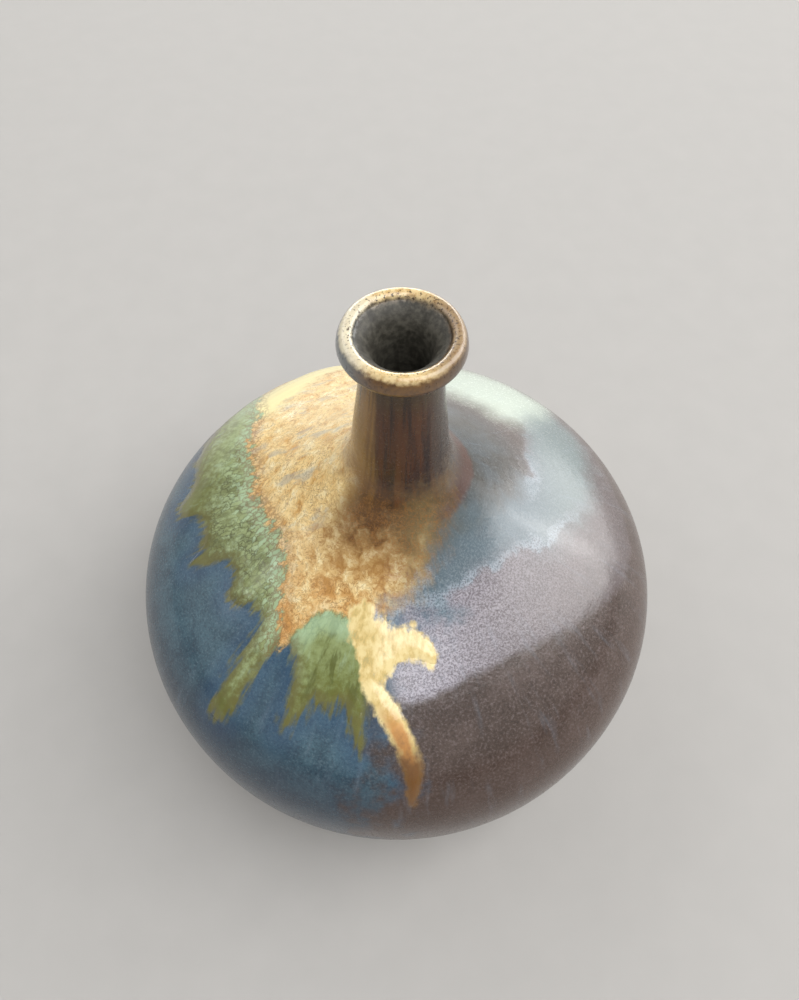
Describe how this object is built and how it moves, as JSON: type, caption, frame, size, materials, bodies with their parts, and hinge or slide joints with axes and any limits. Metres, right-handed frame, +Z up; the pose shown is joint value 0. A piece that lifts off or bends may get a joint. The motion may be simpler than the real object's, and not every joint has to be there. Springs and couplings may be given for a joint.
{
  "type": "ceramic bud vase",
  "caption": "Squat round ceramic bud vase with a slim neck and rolled lip, satin blue-grey glaze and a poured tan and green glaze over the shoulder.",
  "frame": {"origin": "on the table under the centre of the foot", "axes": "+Z up along the turning axis, -Y towards the side that the poured glaze runs down, +X to the right seen from there"},
  "size_m": [0.12, 0.12, 0.1237],
  "materials": {
    "bare_clay": "matte unglazed stoneware, finely grogged",
    "base_glaze": "satin, mottled slate blue to grey mauve",
    "poured_glaze": "semi-gloss, veined cream and tan breaking to olive green",
    "liner_glaze": "satin grey",
    "rim_glaze": "satin cream with brown specks, brown where it thins"
  },
  "bodies": {
    "root": {"foot_ring": "bare_clay", "lower_bowl": "bare_clay", "shoulder": "bare_clay", "neck_collar": "bare_clay", "neck": "bare_clay", "rim_lip": "rim_glaze", "outer_glaze": "base_glaze", "poured_glaze": "poured_glaze", "liner_glaze": "liner_glaze"}
  },
  "joints": []
}
